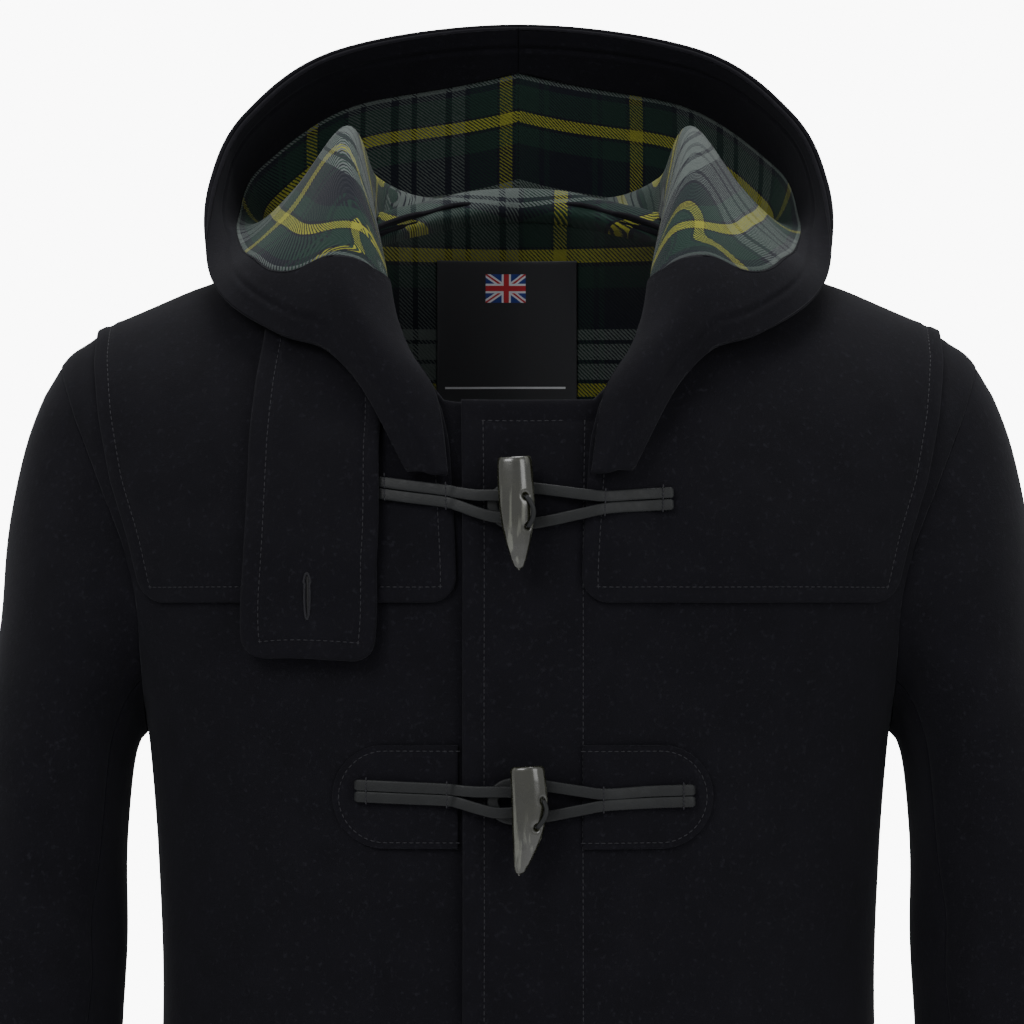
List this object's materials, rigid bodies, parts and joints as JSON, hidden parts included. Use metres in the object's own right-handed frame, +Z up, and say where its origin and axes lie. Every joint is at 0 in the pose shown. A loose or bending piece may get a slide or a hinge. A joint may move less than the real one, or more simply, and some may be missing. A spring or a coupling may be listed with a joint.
{
  "type": "duffle coat",
  "caption": "Hooded wool duffle coat in its hollow worn form: hood down, storm yoke, lapped front held by horn toggles and leather cords.",
  "frame": {"origin": "on the wearer, midway between the two points where the neck meets the shoulders", "axes": "+Z up, -Y to the coat's front, +X to the wearer's left"},
  "size_m": [0.686, 0.3531, 1.0521],
  "materials": {
    "melton": "heavy milled wool, very dark navy, matt nap",
    "tartan": "brushed wool twill, traditional tartan in navy, green, white and yellow",
    "woven_label": "smooth woven label, charcoal",
    "leather": "waxed charcoal leather, satin",
    "horn": "polished dark horn with light streaks"
  },
  "bodies": {
    "root": {"front_left": "melton", "front_right": "melton", "back_left": "melton", "back_right": "melton", "yoke_left": "melton", "yoke_right": "melton", "sleeve_left_upper": "melton", "sleeve_left_under": "melton", "sleeve_right_upper": "melton", "sleeve_right_under": "melton", "hood_left": "melton", "hood_right": "melton", "hood_facing_left": "melton", "hood_facing_right": "melton", "hood_lining_left": "tartan", "hood_lining_right": "tartan", "back_lining_left": "tartan", "back_lining_right": "tartan", "label": "woven_label", "throat_tab": "melton", "pocket_left": "melton", "pocket_right": "melton", "patch_2_left": "melton", "patch_2_right": "melton", "patch_3_left": "melton", "patch_3_right": "melton", "patch_4_left": "melton", "patch_4_right": "melton", "strap_1": "leather", "strap_2": "leather", "strap_3": "leather", "strap_4": "leather", "loop_1": "leather", "loop_2": "leather", "loop_3": "leather", "loop_4": "leather", "toggle_1": "horn", "toggle_2": "horn", "toggle_3": "horn", "toggle_4": "horn"}
  },
  "joints": []
}
